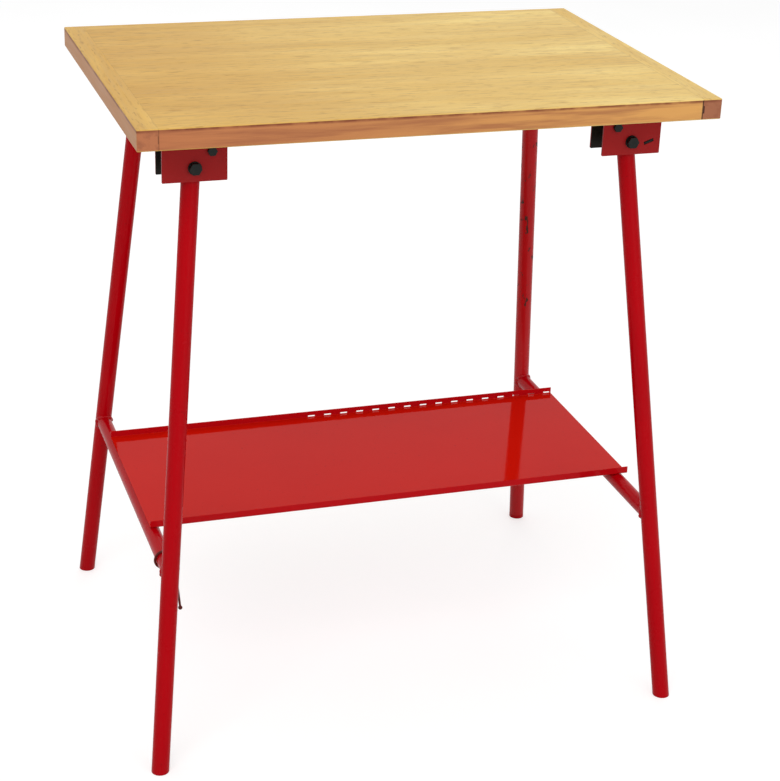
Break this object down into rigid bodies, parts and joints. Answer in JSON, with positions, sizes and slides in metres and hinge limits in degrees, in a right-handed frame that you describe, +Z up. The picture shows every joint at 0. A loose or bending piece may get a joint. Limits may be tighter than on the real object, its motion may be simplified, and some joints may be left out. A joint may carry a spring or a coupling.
{
  "type": "folding plumbing work table",
  "caption": "Free-standing work table with a wooden top, splayed tubular legs that fold in under it, a loose sheet-metal shelf with a slotted back lip, and a carrying hook.",
  "frame": {"origin": "on the floor, under the middle of the top", "axes": "+X along the top to the right, +Y to the back where the shelf's slots are, +Z up"},
  "size_m": [0.7014, 0.5542, 0.81],
  "materials": {
    "wood_panel": "lacquered hardwood",
    "wood_batten": "lacquered hardwood",
    "dark_steel": "dark oxide",
    "red_bracket": "glossy red paint",
    "red_sheet": "glossy red paint",
    "red_tube": "glossy red paint"
  },
  "bodies": {
    "top": {"top_panel": "wood_panel", "end_batten_left": "wood_batten", "end_batten_right": "wood_batten", "hinge_bracket_front_left": "red_bracket", "hinge_bracket_front_right": "red_bracket", "hinge_bracket_back_left": "red_bracket", "hinge_bracket_back_right": "red_bracket", "bracket_screws": "dark_steel", "pivot_bolts": "dark_steel", "pivot_nuts": "dark_steel", "pivot_washers": "dark_steel", "stop_bolts": "dark_steel", "stop_nuts": "dark_steel", "stop_sleeves": "red_bracket"},
    "left_legs": {"leg_front_left": "red_tube", "leg_back_left": "red_tube", "crossbar_left": "red_tube", "foot_plug_front_left": "red_tube", "foot_plug_back_left": "red_tube", "leg_top_caps_left": "red_tube", "pivot_sleeves_left": "red_tube"},
    "right_legs": {"leg_front_right": "red_tube", "leg_back_right": "red_tube", "crossbar_right": "red_tube", "foot_plug_front_right": "red_tube", "foot_plug_back_right": "red_tube", "leg_top_caps_right": "red_tube", "pivot_sleeves_right": "red_tube"},
    "hook": {"carry_hook": "dark_steel"},
    "shelf": {"shelf_tray": "red_sheet"}
  },
  "joints": [
    {"name": "left_fold", "type": "hinge", "parent": "top", "child": "left_legs", "pos_m": [-0.2706, 0, 0.7412], "axis": [0, -1, 0], "range_deg": [0, 90]},
    {"name": "right_fold", "type": "hinge", "parent": "top", "child": "right_legs", "pos_m": [0.2706, 0, 0.7412], "axis": [0, 1, 0], "range_deg": [0, 97.5]},
    {"name": "hook_hang", "type": "hinge", "parent": "left_legs", "child": "hook", "pos_m": [-0.31597, 0, 0.254], "axis": [0, -1, 0], "range_deg": [-86, 1]},
    {"name": "shelf_draw", "type": "slide", "parent": "hook", "child": "shelf", "axis": [-1, 0, 0], "range_m": [0, 1.01]}
  ],
  "couplings": [
    {"joint": "hook_hang", "follows": "left_fold", "ratio": -0.95},
    {"joint": "shelf_draw", "follows": "right_fold", "m_per_rad": 0.59}
  ]
}
